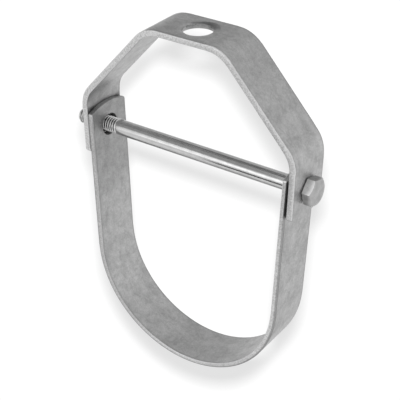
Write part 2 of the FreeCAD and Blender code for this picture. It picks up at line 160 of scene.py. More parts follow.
class HangerStudio(PropertyGroup):
    """Camera, paper and light, measured from the bolt's axis."""
    azimuth: angle("Azimuth", 34.921, "Camera round the hanger, from -Y towards +X")
    elevation: angle("Elevation", 31.133, "Camera above the bolt's axis")
    roll: angle("Roll", -0.169, "Camera turned about its own line of sight")
    distance: length("Distance", 616.101, "Camera from the bolt's axis along its line of sight")
    slide_right: FloatProperty(name="Slide right", default=0.76 * MM, unit="LENGTH",
                               description="Camera moved sideways")
    slide_up: FloatProperty(name="Slide up", default=-25.784 * MM, unit="LENGTH",
                            description="Camera moved up its own picture")
    focal_length: number("Focal length", 101.2146, "Lens in millimetres on a 36 mm sensor")
    paper_depth: length("Paper depth", 1400.0, "White paper behind the bolt's axis")
    paper_glow: number("Paper glow", 0.7, "How bright the paper is where it is in shadow")
    shade_rise: length("Shade lamp rise", 16.0, "Lamp that casts the soft shadow, above the camera")
    shade_size: length("Shade lamp size", 14.0, "Width of that lamp, which softens the shadow")
    shade_power: number("Shade lamp power", 120.0, "Watts of that lamp, which lights only the paper")
    key_power: number("Key power", 1.0, "Watts of the long soft light in front")
    overhead_back: number("Overhead back", 0.19, "How bright the card overhead is at the back")
    overhead_front: number("Overhead front", 0.437, "How bright the card overhead is at the front")
    behind_left: number("Card behind left", 0.6, "How bright the card high behind on the left is")
    behind_right: number("Card behind right", 0.75, "How bright the card high behind on the right is")
    below: number("Card below", 0.6, "How bright the card below is")
    low_front: number("Low front card", 0.1, "How bright the strip low in front of the bolt is")


# Mesh helpers

def ramp(value, start, width):
    """Rises smoothly from 0 at the start to 1 a width past it: x squared times (3 - 2 x)."""
    x = np.clip((value - start) / width, 0, 1)
    return x * x * (3 - 2 * x)


def quarter_round(steps):
    """Columns of 1 - cos and of 1 - sin, for angles from 0 to a quarter turn."""
    turns = np.linspace(0, np.pi / 2, steps)[:, None]
    return 1 - np.cos(turns), 1 - np.sin(turns)


def patch(grid, wrap=False):
    """A grid of points with its quads, closed round its columns if wrap is set."""
    rows, columns = grid.shape[:2]
    index = np.arange(rows * columns).reshape(rows, columns)
    if wrap:
        index = np.hstack([index, index[:, :1]])
    corners = (index[:-1, :-1], index[1:, :-1], index[1:, 1:], index[:-1, 1:])
    return grid, np.stack(corners, axis=-1).reshape(-1, 4)


def weld(name, patches, place=None, marks=None):
    """One closed mesh object from patches, each a (points, faces) pair.

    Points that meet are merged. place(points) then gives their final places,
    the places before it are kept as the blank, and marks(points) gives more
    attributes by name. Faces are turned outwards and shaded smooth.
    """
    points = []
    faces = []
    count = 0
    for grid, quads in patches:
        points.append(grid.reshape(-1, 3))
        faces.append(quads + count)
        count += len(points[-1])
    mesh = bpy.data.meshes.new(name)
    mesh.from_pydata(np.concatenate(points).tolist(), [], np.concatenate(faces).tolist())
    work = bmesh.new()
    work.from_mesh(mesh)
    bmesh.ops.remove_doubles(work, verts=work.verts, dist=0.001 * MM)
    work.to_mesh(mesh)
    if place:
        flat = np.empty(len(mesh.vertices) * 3, np.float32)
        mesh.vertices.foreach_get("co", flat)
        mesh.attributes.new(BLANK, "FLOAT_VECTOR", "POINT").data.foreach_set("vector", flat)
        blank = flat.reshape(-1, 3).astype(float)
        for mark, levels in marks(blank).items():
            layer = mesh.attributes.new(mark, "FLOAT", "POINT")
            layer.data.foreach_set("value", levels.astype(np.float32))
        mesh.vertices.foreach_set("co", place(blank).astype(np.float32).ravel())
        work.clear()
        work.from_mesh(mesh)
    bmesh.ops.recalc_face_normals(work, faces=work.faces)
    work.to_mesh(mesh)
    work.free()
    mesh.polygons.foreach_set("use_smooth", np.ones(len(mesh.polygons), bool))
    mesh.update()
    piece = bpy.data.objects.new(name, mesh)
    bpy.context.scene.collection.objects.link(piece)
    return piece


def finish_piece(piece, body, node, material):
    """Puts the piece on its body in place of its node, with its finish."""
    piece.data.materials.append(material)
    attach(piece, body)
    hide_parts(node)


# Flat bars: each is laid out as a flat blank, and then bent

# Longest faces along the straight and the bent stretches
STRAIGHT_STEP = 4 * MM
TURN_STEP = math.radians(3)

# Points over an edge's rounding and its side, along a hole's entry or an end's corner, along
# half an end's arc, across a face, from a hole out to its loop, and beside the middle hole
ROUNDING_POINTS = 6
SIDE_POINTS = 9
ENTRY_POINTS = 9
ARC_POINTS = 13
ACROSS_POINTS = 13
RING_POINTS = 5
MIDDLE_POINTS = 15

# Narrow rows of faces that keep the rounding at a face's edge, and beside a hole
EDGE_BORDER = 0.5 * MM
HOLE_BORDER = 0.4 * MM

# Small chamfer at a hole's mouth, and the widening where the slug broke out of it:
# its share, and the height in thicknesses
MOUTH_WIDTH = 0.15 * MM
MOUTH_DEPTH = 0.2 * MM
BREAK_OUT = ((0.0, 0.0), (0.3, -0.12), (0.85, -0.4), (1.0, -0.5))

# Shallow waves: radians for each metre along and across the blank, and the start
WAVES = ((310, 90, 0.0), (173, -260, 1.3), (590, 410, 2.1))

# Levels of painted shade, from 0 to 1
FAR_EDGE_SHADE = 0.28
FAR_LIP_SHADE = 0.5
END_LINE_SHADOW = 0.8
HEAD_SIDE_SHADE = 0.5
NUT_SIDE_SHADE = 0.2

# Soft stretches of painted shade on the bars: distance along the blank, reach and level
SLOPE_SPOT = (26 * MM, 34 * MM, 0.09)
SEAT_SPOT = (34 * MM, 34 * MM, 0.13)
LEFT_LEG_REACH = 62 * MM
LEFT_LEG_SHADE = 0.25

# Rim distance at a hole's edge, and ramps of the marks, each a start and a width
HOLE_RIM = 0.7 * MM
CORNER_END = (0.6 * MM, 0.5 * MM)
LINE_START = (-0.9 * MM, 0.5 * MM)
LINE_END = (0.0, 1.1 * MM)
LIP_START = (-0.3 * MM, 0.4 * MM)
LIP_END = 0.6 * MM
LIP_NARROW = 1.0 * MM
LIP_WIDE = 3.2 * MM

# How far the strap's painted shade reaches past the ear's corner, and over the nut's side
PAST_EAR = 3.5 * MM
NUT_SIDE_REACH = 60 * MM


class Path:
    """Middle line of half a bar in the XZ plane, as runs of constant curvature.

    A run starts at a point with a heading, and turns by its curvature k for
    each metre. Along it, at a distance d from its start, the heading is
    a + k d, and the point is the start plus the chord: d sinc(k d / 2) long,
    in the direction a + k d / 2. The other half of the bar is its mirror image.
    """

    def __init__(self, start):
        self.starts = [0.0]
        self.points = [np.array(start, float)]
        self.headings = [0.0]
        self.curvatures = []

    def run(self, distance, turn=0.0):
        """Adds a run of that length, which turns by that angle over its length."""
        chord = distance * np.sinc(turn / 2 / np.pi)
        middle = self.headings[-1] + turn / 2
        self.curvatures.append(turn / distance)
        self.points.append(self.points[-1] + chord * np.array([np.cos(middle), np.sin(middle)]))
        self.starts.append(self.starts[-1] + distance)
        self.headings.append(self.headings[-1] + turn)

    @property
    def half_length(self):
        return self.starts[-1]

    def samples(self, low, high):
        """Distances from low to high that follow the runs, closer together in the bends."""
        marks = [low]
        for first, last, curvature in zip(self.starts, self.starts[1:], self.curvatures):
            first = max(first, low)
            last = min(last, high)
            if last <= first:
                continue
            step = TURN_STEP / abs(curvature) if curvature else STRAIGHT_STEP
            steps = max(1, math.ceil((last - first) / step))
            marks.extend(first + (last - first) * np.arange(1, steps + 1) / steps)
        return np.array(marks)

    def place(self, along, through):
        """Points at a distance along, offset through the bar to the left of the heading."""
        distance = np.abs(along)
        run = np.searchsorted(self.starts, distance, side="right") - 1
        run = np.clip(run, 0, len(self.curvatures) - 1)
        curvature = np.array(self.curvatures)[run]
        heading = np.array(self.headings)[run]
        origin = np.array(self.points)[run]
        gone = distance - np.array(self.starts)[run]
        chord = gone * np.sinc(curvature * gone / 2 / np.pi)
        middle = heading + curvature * gone / 2
        now = heading + curvature * gone
        x = origin[:, 0] + chord * np.cos(middle) - through * np.sin(now)
        z = origin[:, 1] + chord * np.sin(middle) + through * np.cos(now)
        return np.where(along < 0, -x, x), z, curvature


def rim_profile(sizes, thickness):
    """Section of the bar's long edge, from the top face round to the bottom face.

    Rows of (inset, height): a quarter round of the edge radius, then the
    crowned edge, inset by crown times q squared with q from 1 to -1, then the
    quarter round again.
    """
    radius = sizes.edge_radius
    down, left = quarter_round(ROUNDING_POINTS)
    top = np.hstack([sizes.edge_crown + radius * left, thickness / 2 - radius * down])
    q = np.linspace(1, -1, SIDE_POINTS)[1:-1, None]
    side = np.hstack([sizes.edge_crown * q ** 2, q * (thickness / 2 - radius)])
    return np.vstack([top, side, top[::-1] * [1, -1]])


def hole_profile(sizes, radius, thickness, punch_side):
    """Section of a punched hole, from the top face to the bottom face.

    Rows of (radius, height): a parabola where the punch drew the face in,
    with the square of the way in to the hole, a small chamfer, straight to the
    middle, and widening where the slug broke out.
    """
    share = np.linspace(0, 1, ENTRY_POINTS)
    entry = np.column_stack([radius + MOUTH_WIDTH + sizes.hole_dip * radius * (1 - share),
                             thickness / 2 - sizes.hole_roll * share ** 2])
    mouth = [radius, thickness / 2 - sizes.hole_roll - MOUTH_DEPTH]
    wider, height = np.array(BREAK_OUT).T
    wall = np.column_stack([radius * (1 + sizes.hole_break * wider), thickness * height])
    profile = np.vstack([entry, mouth, wall])
    return profile if punch_side > 0 else profile[::-1] * [1, -1]


def along_edge(marks):
    """Outline points and outward normals of the long edge at +Y."""
    points = np.column_stack([marks, np.full(len(marks), BAR_HALF_WIDTH)])
    return points, np.tile([0.0, 1.0], (len(marks), 1))


def arc(centre, radius, turns):
    """Outline points and outward normals of an arc: centre plus radius times (cos, sin)."""
    normals = np.column_stack([np.cos(turns), np.sin(turns)])
    return centre + radius * normals, normals


def end_outline(sizes, start, tip):
    """Outline of a bar's end, from the long edge at +Y round the end to the one at -Y.

    The end is an arc of the end radius about a centre on the middle line, and
    a small arc joins it to each long edge. Gives points and outward normals.
    """
    centre = tip - sizes.end_radius
    corner = sizes.corner_radius
    inside = BAR_HALF_WIDTH - corner
    corner_s = centre + math.sqrt((sizes.end_radius - corner) ** 2 - inside ** 2)
    meet = math.atan2(inside, corner_s - centre)
    parts = (along_edge(np.linspace(start, corner_s, ENTRY_POINTS)[:-1]),
             arc((corner_s, inside), corner, np.linspace(np.pi / 2, meet, ENTRY_POINTS)),
             arc((centre, 0), sizes.end_radius, np.linspace(meet, 0, ARC_POINTS)[1:]))
    halves = [np.vstack(rows) for rows in zip(*parts)]
    return [np.vstack([half, half[-2::-1] * [1, -1]]) for half in halves]


def carry(points, normals, profile, wrap=False):
    """Carries a section along an outline: each point less the inset times its normal."""
    inset, height = profile.T[:, :, None]
    flat = points - inset[..., None] * normals
    return patch(np.dstack([flat, np.repeat(height, len(normals), axis=1)]), wrap)


def rim_patches(marks, rim):
    """The rim along both long edges, at the given marks."""
    points, normals = along_edge(marks)
    return [carry(points * [1, side], normals * [1, side], rim) for side in (1, -1)]


def face_patch(marks, across, height):
    """Flat stretch of a broad face: every mark along by every place across."""
    return patch(np.stack(np.broadcast_arrays(marks[:, None], across, height), axis=-1))


def ring_patches(loop, centre, profile, thickness):
    """Both broad faces round a hole, and the hole's wall.

    Each face is ruled from the hole outwards to the loop, with one row close to
    either edge, so that the rounding stays at the edges.
    """
    spoke = loop - centre
    reach = np.linalg.norm(spoke, axis=1)[:, None]
    ray = spoke / reach
    patches = []
    for row, height in ((0, thickness / 2), (-1, -thickness / 2)):
        inner = profile[row, 0]
        border = HOLE_BORDER / (reach - inner)
        steps = np.linspace(border, 1 - border, RING_POINTS)
        share = np.concatenate([0 * steps[:1], steps, 0 * steps[:1] + 1])
        flat = centre + ray * (inner + (reach - inner) * share)
        patches.append(patch(np.dstack([flat, np.full(flat.shape[:2], height)]), wrap=True))
    wall = carry(centre, -ray, profile, wrap=True)
    patches.append(wall)
    return patches


def mirrored(patches):
    """The same patches at the other end of the bar."""
    return [(grid * [-1, 1, 1], faces) for grid, faces in patches]


def flat_blank(sizes, path, thickness, end_hole, end_seam, punch_side, middle_hole=None):
    """Patches of the whole flat bar, in coordinates along, across and through it.

    end_hole is the (distance, radius) of the hole near each end, and end_seam
    the distance where the plain bar gives way to the face round that hole.
    middle_hole is the radius of a hole in the middle of the bar.
    """
    rim = rim_profile(sizes, thickness)
    inset = rim[0, 0]
    face_half = BAR_HALF_WIDTH - inset
    inner = np.linspace(-face_half + EDGE_BORDER, face_half - EDGE_BORDER, ACROSS_POINTS)
    across = np.concatenate([[-face_half], inner, [face_half]])

    outline, normals = end_outline(sizes, end_seam, path.half_length)
    seam = np.column_stack([np.full(len(inner), end_seam), inner])
    loop = np.vstack([outline - inset * normals, seam])
    profile = hole_profile(sizes, end_hole[1], thickness, punch_side)
    end = [carry(outline, normals, rim)]
    end += ring_patches(loop, np.array([end_hole[0], 0]), profile, thickness)

    strip_start = BAR_HALF_WIDTH if middle_hole else 0.0
    marks = path.samples(strip_start, end_seam)
    strip = [face_patch(marks, across, height) for height in (thickness / 2, -thickness / 2)]
    strip += rim_patches(marks, rim)

    middle = []
    if middle_hole:
        marks = np.linspace(-strip_start, strip_start, MIDDLE_POINTS)
        top = np.column_stack([marks, np.full(len(marks), face_half)])
        right = np.column_stack([np.full(len(inner), strip_start), inner[::-1]])
        loop = np.vstack([top, right, -top, -right])
        profile = hole_profile(sizes, middle_hole, thickness, punch_side)
        middle = rim_patches(marks, rim) + ring_patches(loop, np.zeros(2), profile, thickness)
    return end + mirrored(end) + strip + mirrored(strip) + middle


def bar_marks(sizes, holes, spots, crevice=None, end_above=None, shaded_hole=None):
    """The function that gives the rim distance and the grime at places on the flat blank.

    The rim distance is the distance to the nearer long edge, or a little more
    than that to a hole, a (distance along, radius) pair. Each spot, a
    (distance along, reach, level), is a soft round stretch of painted shade,
    and the corners at +Y, on the far side, get painted shade too. crevice,
    end_above and shaded_hole are the places of the painted shade that the next
    three functions give.
    """
    def marks(blank):
        along, across, through = blank.T
        rim = BAR_HALF_WIDTH - np.abs(across)
        for mark, radius in holes:
            rim = np.minimum(rim, np.hypot(np.abs(along) - mark, across) - radius + HOLE_RIM)
        corner = 1 - ramp(rim, *CORNER_END)
        # Painted shade on the corners of the far long edge, at +Y
        painted_shade = [FAR_EDGE_SHADE * corner * (across > 0)]
        for spot, reach, level in spots:
            away = np.hypot(along - spot, across)
            painted_shade.append(level * (1 - ramp(away, 0.3 * reach, 0.7 * reach)))
        if crevice:
            painted_shade.append(corner * crevice_shade(along, through, crevice))
        if end_above:
            painted_shade.append(end_shadow_line(sizes, blank, end_above))
        if shaded_hole:
            painted_shade.append(shaded_lip(blank, shaded_hole))
        return {RIM: np.clip(rim / MM, 0, 4), PAINTED_SHADE: np.maximum.reduce(painted_shade)}

    return marks


def crevice_shade(along, through, start):
    """Painted shade on the strap's corners: outside, black past the start on the head's side,
    where the leg lies in the gap beside the ear; less on both sides towards the nut."""
    outer = ramp(-through / STRAP_THICKNESS, 0.1, 0.2)
    beside = ramp(along, start, MM)
    head_side = outer * (HEAD_SIDE_SHADE + (1 - HEAD_SIDE_SHADE) * beside)
    return np.maximum(head_side, NUT_SIDE_SHADE * ramp(-along, 0, NUT_SIDE_REACH))


def end_shadow_line(sizes, blank, tip):
    """Painted shadow: a dark line on a bar's inside where the other bar's sheared end,
    with that tip, lies on it.
    """
    along, across, through = blank.T
    end = tip + sizes.end_radius - np.sqrt(sizes.end_radius ** 2 - across ** 2)
    past = end - np.abs(along)
    line = ramp(past, *LINE_START) * (1 - ramp(past, *LINE_END))
    return END_LINE_SHADOW * line * (through < 0)


def shaded_lip(blank, radius):
    """Painted shade: a dark band on the far lip of a middle hole, towards +Y, that widens
    towards +X.
    """
    along, across, through = blank.T
    past = np.hypot(along, across) - radius
    width = LIP_NARROW + (LIP_WIDE - LIP_NARROW) * ramp(along / radius, -0.6, 1.2)
    band = ramp(past, *LIP_START) * (1 - ramp(past, width, LIP_END))
    far = ramp(across / radius, 0.4, 0.3)
    return FAR_LIP_SHADE * band * far * (through > 0)


def bend_blank(sizes, path, thickness):
    """The function that bends the flat blank along its path.

    Before it is bent, the bar gets shallow waves, the mean of three sines. In a
    bend, the long edges spread on the inside and draw in on the outside, by
    the swell times the sixth power of the share of the half width.
    """
    tightest = max(abs(curvature) for curvature in path.curvatures)

    def place(blank):
        along, across, through = blank.T
        waves = np.mean([np.sin(along * a + across * b + start) for a, b, start in WAVES], axis=0)
        x, z, curvature = path.place(along, through + sizes.waviness * waves)
        share = across / BAR_HALF_WIDTH
        bend = curvature / tightest * (through / (thickness / 2))
        spread = sizes.bend_swell * share ** 6 * np.sign(across) * bend
        return np.column_stack([x, across + spread, z])

    return place


def yoke_path(sizes):
    """Middle line of the yoke: flat top, crown bend, slope, shoulder bend, ear.

    Each bend takes its radius times the tangent of half its turn off the
    straight runs beside it.
    """
    half = YOKE_THICKNESS / 2
    crown = np.array([sizes.crown_width / 2, half])
    shoulder = np.array([sizes.ear_middle + sizes.shoulder_rise * math.tan(sizes.ear_lean),
                         BOLT_AXIS_Z + sizes.shoulder_rise])
    slope = shoulder - crown
    turn = math.atan2(-slope[1], slope[0])
    rest = math.pi / 2 - turn + sizes.ear_lean
    crown_radius = sizes.crown_bend + half
    shoulder_radius = sizes.shoulder_bend + half
    crown_trim = crown_radius * math.tan(turn / 2)
    shoulder_trim = shoulder_radius * math.tan(rest / 2)
    path = Path((0, half))
    path.run(crown[0] - crown_trim)
    path.run(crown_radius * turn, -turn)
    path.run(np.linalg.norm(slope) - crown_trim - shoulder_trim)
    path.run(shoulder_radius * rest, -rest)
    path.run((shoulder[1] - YOKE_LOW.z) / math.cos(sizes.ear_lean) - shoulder_trim)
    return path


def strap_path(sizes):
    """Middle line of the U, about the centre of its round seat: quarter round, then leg."""
    middle_radius = SEAT_RADIUS + STRAP_THICKNESS / 2
    turn = math.pi / 2 - sizes.leg_splay
    leg_foot = -middle_radius * math.sin(sizes.leg_splay)
    bolt_rise = (BOLT_AXIS_Z - SEAT_CENTRE.z) / math.cos(sizes.hang_lean)
    path = Path((0, -middle_radius))
    path.run(middle_radius * turn, turn)
    path.run((bolt_rise + sizes.leg_rise - leg_foot) / math.cos(sizes.leg_splay))
    return path


def hang(sizes, points):
    """Leans the U about +Y, x by x cos + z sin and z by z cos - x sin, and seats its centre."""
    cos, sin = math.cos(sizes.hang_lean), math.sin(sizes.hang_lean)
    x, y, z = points.T
    return np.column_stack([x * cos + z * sin, y, z * cos - x * sin]) + np.array(SEAT_CENTRE)


# Bolt and nut: surfaces of rings about the bolt's axis

# Points round each of the six flats, how much they crowd at its corners, along the plain
# shank, for each pitch of the thread and through the nut's bore
FLAT_POINTS = 24
CROWDING = 0.11
SHANK_POINTS = 24
PITCH_POINTS = 16
BORE_POINTS = 65

# Points over the rounding of a hexagon's end, and of the foot and the neck under the head
END_POINTS = 5
FOOT_POINTS = 4

# Places of the rings over a hexagon's end, closer together at its chamfer, and over the tip
END_SHARES = (0, 0.35, 0.7, 0.85, 0.92, 0.96, 0.98, 1)
TIP_SHARES = (0.8, 0.4, 0.0)

# Hexagon: its corners' radius, the chamfer's circle as a share of the flats, how softly
# the chamfer starts, and the rounding of the end
HEX_CORNER = 0.3 * MM
CHAMFER_CIRCLE = 0.955
CHAMFER_SOFTENING = 0.12 * MM
END_ROUNDING = 0.22 * MM

# Thread: shares of the pitch
THREAD_DEPTH = 0.613
HALF_CREST = 0.05
FLANK_EASE = 0.02
POINT_DEPTH = 0.75

# Bolt's foot rounding and neck under the head, and the nut's bore
FOOT_ROUNDING = 0.15 * MM
NECK = 0.35 * MM
BORE_MOUTH = 0.3 * MM
BORE_ROOT = 0.7 * MM


def ring_angles():
    """Angles round the bolt, with each side's shares s moved by the crowding times sin 2 pi s."""
    share = np.arange(FLAT_POINTS) / FLAT_POINTS
    share = share - CROWDING * np.sin(2 * np.pi * share)
    return np.concatenate([(share + side) * np.pi / 3 for side in range(6)])


def hexagon(angles, flats, corner):
    """Distance of a rounded hexagon's side from its middle, with corners at 0, 60, 120...

    On a flat it is the half width over the cosine of the angle from that
    flat's middle. At a corner it is the far side of a circle of the corner
    radius that touches both flats.
    """
    from_corner = np.abs((angles + np.pi / 6) % (np.pi / 3) - np.pi / 6)
    from_flat = np.pi / 6 - from_corner
    straight = flats / 2 / np.cos(from_flat)
    centre = (flats / 2 - corner) / math.cos(math.pi / 6)
    inside = np.maximum(corner ** 2 - (centre * np.sin(from_corner)) ** 2, 0)
    circle = centre * np.cos(from_corner) + np.sqrt(inside)
    on_corner = straight * np.sin(from_flat) > centre * math.sin(math.pi / 6)
    return np.where(on_corner, circle, straight)


def thread_radius(sizes, x, angles, radius):
    """Radius of a right-hand thread with flat crests and 60 degree flanks.

    The crest's middle is where x over the pitch, less the angle over a full
    turn, is half past a whole number. Away from it the radius falls along the
    flank to the root.
    """
    phase = (x / sizes.thread_pitch - angles / (2 * np.pi)) % 1
    flank = THREAD_DEPTH * math.tan(math.radians(30)) + FLANK_EASE
    fall = ramp(np.abs(phase - 0.5), HALF_CREST, flank)
    return radius - THREAD_DEPTH * sizes.thread_pitch * fall


def hex_end(sizes, angles, face, inwards, height, inner):
    """Rings over a hexagon's chamfered end: from the inner radius out and down its side.

    face is the end's place along the bolt, and inwards, 1 or -1, the way into
    the metal. The face dips by tan 30 of what lies past the chamfer's circle,
    rounded off by a small softening, and a quarter round leads to the side.
    """
    side = hexagon(angles, sizes.hex_flats, HEX_CORNER)
    circle = sizes.hex_flats / 2 * CHAMFER_CIRCLE
    radius = inner + (side - END_ROUNDING - inner) * np.array(END_SHARES)[:, None]

    def dip(r):
        past = r - circle
        softened = (past + np.sqrt(past ** 2 + CHAMFER_SOFTENING ** 2)) / 2
        return math.tan(math.radians(30)) * softened

    drop, left = quarter_round(END_POINTS)
    down = dip(radius) - dip(inner)
    down = np.vstack([down, down[-1] + END_ROUNDING * drop[1:], np.full(len(angles), height / 2)])
    radius = np.vstack([radius, side - END_ROUNDING * left[1:], side])
    return face + inwards * down, radius


def stack_rings(parts, angles):
    """Grids of places and radii from (place, radius) pairs, each a value, a column or a grid."""
    full = [np.broadcast_arrays(x, radius, angles[None])[:2] for x, radius in parts]
    return [np.vstack(rows) for rows in zip(*full)]


def rings_patch(x, radius, angles, turn, wrap_rows=False):
    """Rings about the bolt's axis: y is the radius times cos, z the axis plus it times sin."""
    if wrap_rows:
        x = np.vstack([x, x[:1]])
        radius = np.vstack([radius, radius[:1]])
    y = radius * np.cos(angles + turn)
    z = BOLT_AXIS_Z + radius * np.sin(angles + turn)
    return patch(np.dstack([x, y, z]), wrap=True)


def bolt_rings(sizes, angles):
    """Rings of the whole bolt, from the middle of its head to the middle of its tip.

    The hexagon, then the round washer face under it, the neck, the plain shank
    and the thread, which runs out over a pitch and a half and is cut to a
    45 degree point.
    """
    radius = sizes.bolt_diameter / 2
    washer = sizes.washer_width / 2
    face = BOLT_HIGH.x
    seat = face - sizes.head_height
    foot = seat + sizes.washer_face
    tip = BOLT_LOW.x
    plain_end = tip + sizes.thread_length
    plain = np.linspace(seat - NECK, plain_end, SHANK_POINTS)[1:, None]
    threaded = np.arange(plain_end, tip, -sizes.thread_pitch / PITCH_POINTS)[1:, None]
    threaded = np.vstack([threaded, [[tip]]])
    run_out = ramp(plain_end - threaded, 0, 1.5 * sizes.thread_pitch)
    cut = thread_radius(sizes, threaded, angles + sizes.head_turn, radius)
    point = radius - POINT_DEPTH * sizes.thread_pitch
    thread = np.minimum(radius - (radius - cut) * run_out, point + (threaded - tip))
    head = hex_end(sizes, angles, face, -1, face - foot, 0.0)
    down, left = quarter_round(FOOT_POINTS)
    return stack_rings((
        head,
        (foot + FOOT_ROUNDING * left, head[1][-1] - FOOT_ROUNDING * down),
        (foot, washer + FOOT_ROUNDING / 2),
        (foot - FOOT_ROUNDING / 2, washer),
        (seat + FOOT_ROUNDING * left, washer - FOOT_ROUNDING * down),
        (seat - NECK * down, radius + NECK * left),
        (plain, radius),
        (threaded, thread),
        (tip, point * np.array(TIP_SHARES)[:, None]),
    ), angles)


def nut_rings(sizes, angles):
    """Rings of the nut: over one face, down its side, over the other and back through its bore."""
    radius = sizes.bolt_diameter / 2
    inner_face = NUT_HIGH.x
    outer_face = NUT_LOW.x
    height = inner_face - outer_face
    mouth = radius + BORE_MOUTH
    outer_end = hex_end(sizes, angles, outer_face, 1, height, mouth)
    inner_end = hex_end(sizes, angles, inner_face, -1, height, mouth)
    bore = np.linspace(inner_face, outer_face, BORE_POINTS)[1:-1, None]
    cut = thread_radius(sizes, bore, angles + sizes.nut_turn, radius) + sizes.thread_room
    from_face = np.minimum(inner_face - bore, bore - outer_face)
    bore_radius = np.maximum(np.maximum(cut, radius - BORE_ROOT), mouth - from_face)
    back = [rings[-2::-1] for rings in inner_end]
    return stack_rings((outer_end, back, (bore, bore_radius)), angles)


# Materials

# Scale of the plating's streaks along the bolt, for a drawn and for a pressed piece
DRAWN = 14
PRESSED = 300

# Flats of the head with painted light and shade of their own, as angles from its corners' turn
LIT_FLAT = math.radians(150)
SHADED_FLAT = math.radians(90)

# How far below the thread's crests the painted shade begins
SHADE_DEPTH = 0.25 * MM

# Bands beside a bar's edge, each from one ramp to another, in millimetres of rim distance
EDGE_END = (0.6, 0.4)
BRIGHT_CORNER = ((0.05, 0.25), (0.7, 0.4))
SPECKLED_LINE = ((0.4, 0.55), (1.0, 0.7))
# Painted shade: a darker line on the face beside each edge, where the rounding meets it
SHADE_LINE = ((0.6, 0.8), (1.7, 1.0))


def shade(colour, share):
    """The colour made lighter or darker by that share."""
    return [level * share for level in colour]


class Shader:
    """Small helper that adds nodes to a material or a world, and joins them."""

    def __init__(self, owner):
        owner.use_nodes = True
        self.owner = owner
        self.nodes = owner.node_tree.nodes
        self.links = owner.node_tree.links

    def add(self, kind, **settings):
        node = self.nodes.new(kind)
        for key, setting in settings.items():
            setattr(node, key, setting)
        return node

    def join(self, source, target):
        self.links.new(source, target)

    def attribute(self, name, output="Fac"):
        return self.add("ShaderNodeAttribute", attribute_name=name).outputs[output]

    def place(self, source, scale):
        """Coordinates stretched by a scale for each axis."""
        mapping = self.add("ShaderNodeMapping")
        self.join(source, mapping.inputs["Vector"])
        mapping.inputs["Scale"].default_value = scale
        return mapping.outputs["Vector"]

    def noise(self, source, scale, detail=3.0, roughness=0.5, distortion=0.0):
        """Noise at a scale, or at one for each axis."""
        if isinstance(scale, tuple):
            source = self.place(source, scale)
            scale = 1
        node = self.add("ShaderNodeTexNoise")
        self.join(source, node.inputs["Vector"])
        for name, setting in (("Scale", scale), ("Detail", detail), ("Roughness", roughness),
                              ("Distortion", distortion)):
            node.inputs[name].default_value = setting
        return node.outputs["Fac"]

    def spread(self, source, low, high, to_low=0.0, to_high=1.0):
        """Stretches the range from low to high onto another range."""
        node = self.add("ShaderNodeMapRange")
        self.join(source, node.inputs["Value"])
        for name, setting in (("From Min", low), ("From Max", high),
                              ("To Min", to_low), ("To Max", to_high)):
            node.inputs[name].default_value = setting
        return node.outputs["Result"]

    def band(self, source, rise, fall):
        """1 between two ramps, each from its first value to its second, and 0 outside."""
        return self.math("MULTIPLY", self.spread(source, *rise), self.spread(source, *fall))

    def math(self, operation, first, second):
        node = self.add("ShaderNodeMath", operation=operation)
        for index, item in enumerate((first, second)):
            if isinstance(item, (int, float)):
                node.inputs[index].default_value = item
            else:
                self.join(item, node.inputs[index])
        return node.outputs["Value"]

    def blend(self, parts):
        """Sum of (socket, weight) parts."""
        total = 0.0
        for source, weight in parts:
            total = self.math("ADD", self.math("MULTIPLY", source, weight), total)
        return total

    def mix(self, share, first, second):
        """Mixes two colours, each a socket or a plain colour."""
        node = self.add("ShaderNodeMix", data_type="RGBA")
        self.join(share, node.inputs["Factor"])
        for name, item in (("A", first), ("B", second)):
            socket = next(s for s in node.inputs if s.name == name and s.type == "RGBA")
            if isinstance(item, bpy.types.NodeSocket):
                self.join(item, socket)
            else:
                socket.default_value = (*item, 1)
        return next(s for s in node.outputs if s.type == "RGBA")

    def mottle(self, share, colour, darker, lighter):
        """A plain colour, mottled between two shares of itself."""
        return self.mix(share, shade(colour, darker), shade(colour, lighter))

    def metal(self, colour, rough, height, distance, strength):
        """Bare metal of a colour and a roughness, with a bump of that height over a distance."""
        bump = self.add("ShaderNodeBump")
        bump.inputs["Distance"].default_value = distance
        bump.inputs["Strength"].default_value = strength
        self.join(height, bump.inputs["Height"])
        inputs = self.nodes["Principled BSDF"].inputs
        inputs["Metallic"].default_value = 1.0
        self.join(bump.outputs["Normal"], inputs["Normal"])
        self.join(colour, inputs["Base Color"])
        self.join(rough, inputs["Roughness"])
        return self.owner

    def glow(self):
        """Takes the principled shader out, and gives an emission node."""
        self.nodes.remove(self.nodes["Principled BSDF"])
        return self.add("ShaderNodeEmission")

    def surface(self, node, output):
        self.join(node.outputs[output], self.nodes["Material Output"].inputs["Surface"])
        return self.owner

    def seen_directly(self):
        """1 for camera, glossy and transmission rays, 0 for the rest."""
        rays = self.add("ShaderNodeLightPath").outputs
        passed_on = self.math("MAXIMUM", rays["Is Glossy Ray"], rays["Is Transmission Ray"])
        return self.math("MAXIMUM", rays["Is Camera Ray"], passed_on)


